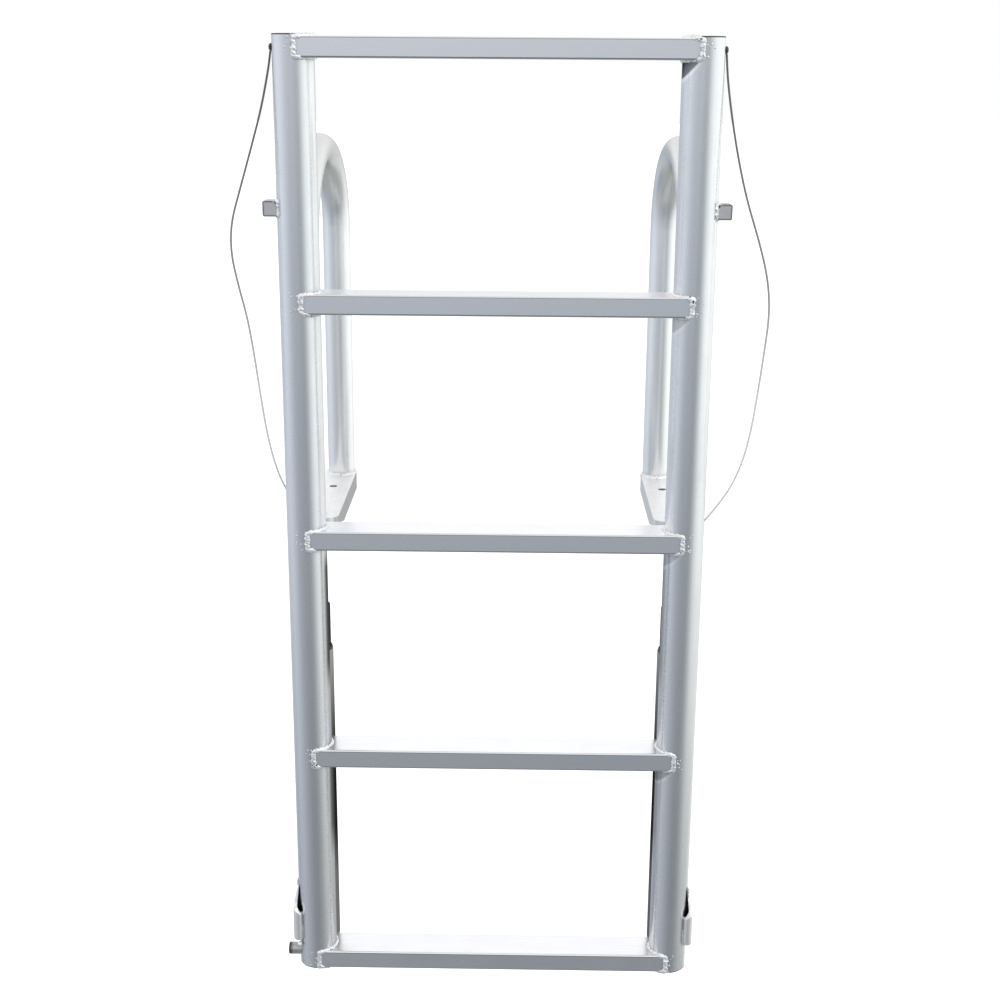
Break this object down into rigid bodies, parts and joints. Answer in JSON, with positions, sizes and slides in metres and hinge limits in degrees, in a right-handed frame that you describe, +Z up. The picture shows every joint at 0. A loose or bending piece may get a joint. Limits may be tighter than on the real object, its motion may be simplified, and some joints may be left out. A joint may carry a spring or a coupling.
{
  "type": "dock ladder",
  "caption": "Lift-up dock ladder in satin aluminium tube: flat rungs between round rails, sliding on fixed grab hoops with deck feet.",
  "frame": {"origin": "on the underside of the left deck foot, in the middle of its width and 160 mm behind the plane of the rails", "axes": "+Z up, +Y from the water towards the dock, +X to the right of a person who faces the dock"},
  "size_m": [0.6691, 0.3194, 1.2482],
  "materials": {
    "satin_aluminium": "satin, clear anodised",
    "black_plastic": "moulded, matte",
    "black_rivet": "black, satin",
    "steel_pin": "zinc plated",
    "coated_cable": "clear coated wire rope"
  },
  "bodies": {
    "fixed_hoops": {"left_hoop": "satin_aluminium", "left_deck_foot": "satin_aluminium", "left_stop_collar": "satin_aluminium", "right_hoop": "satin_aluminium", "right_deck_foot": "satin_aluminium", "right_stop_collar": "satin_aluminium", "left_hoop_plug": "black_plastic", "right_hoop_plug": "black_plastic"},
    "sliding_ladder": {"left_rail": "satin_aluminium", "right_rail": "satin_aluminium", "left_guide_sleeve": "satin_aluminium", "right_guide_sleeve": "satin_aluminium", "left_stop_tab": "satin_aluminium", "right_stop_tab": "satin_aluminium", "left_lower_hook": "satin_aluminium", "right_lower_hook": "satin_aluminium", "left_lower_stub": "satin_aluminium", "rung_1": "satin_aluminium", "rung_2": "satin_aluminium", "rung_3": "satin_aluminium", "rung_4": "satin_aluminium", "rung_5": "satin_aluminium", "left_rail_top_plug": "black_plastic", "right_rail_top_plug": "black_plastic", "left_rail_bottom_plug": "black_plastic", "right_rail_bottom_plug": "black_plastic", "left_upper_bushing": "black_plastic", "left_lower_bushing": "black_plastic", "right_upper_bushing": "black_plastic", "right_lower_bushing": "black_plastic", "left_lanyard_rivet": "black_rivet", "right_lanyard_rivet": "black_rivet", "left_lock_pin": "steel_pin", "right_lock_pin": "steel_pin", "left_lanyard": "coated_cable", "right_lanyard": "coated_cable"}
  },
  "joints": [
    {"name": "ladder_slide", "type": "slide", "parent": "fixed_hoops", "child": "sliding_ladder", "axis": [0, 0, 1], "range_m": [-0.385, 0]}
  ]
}
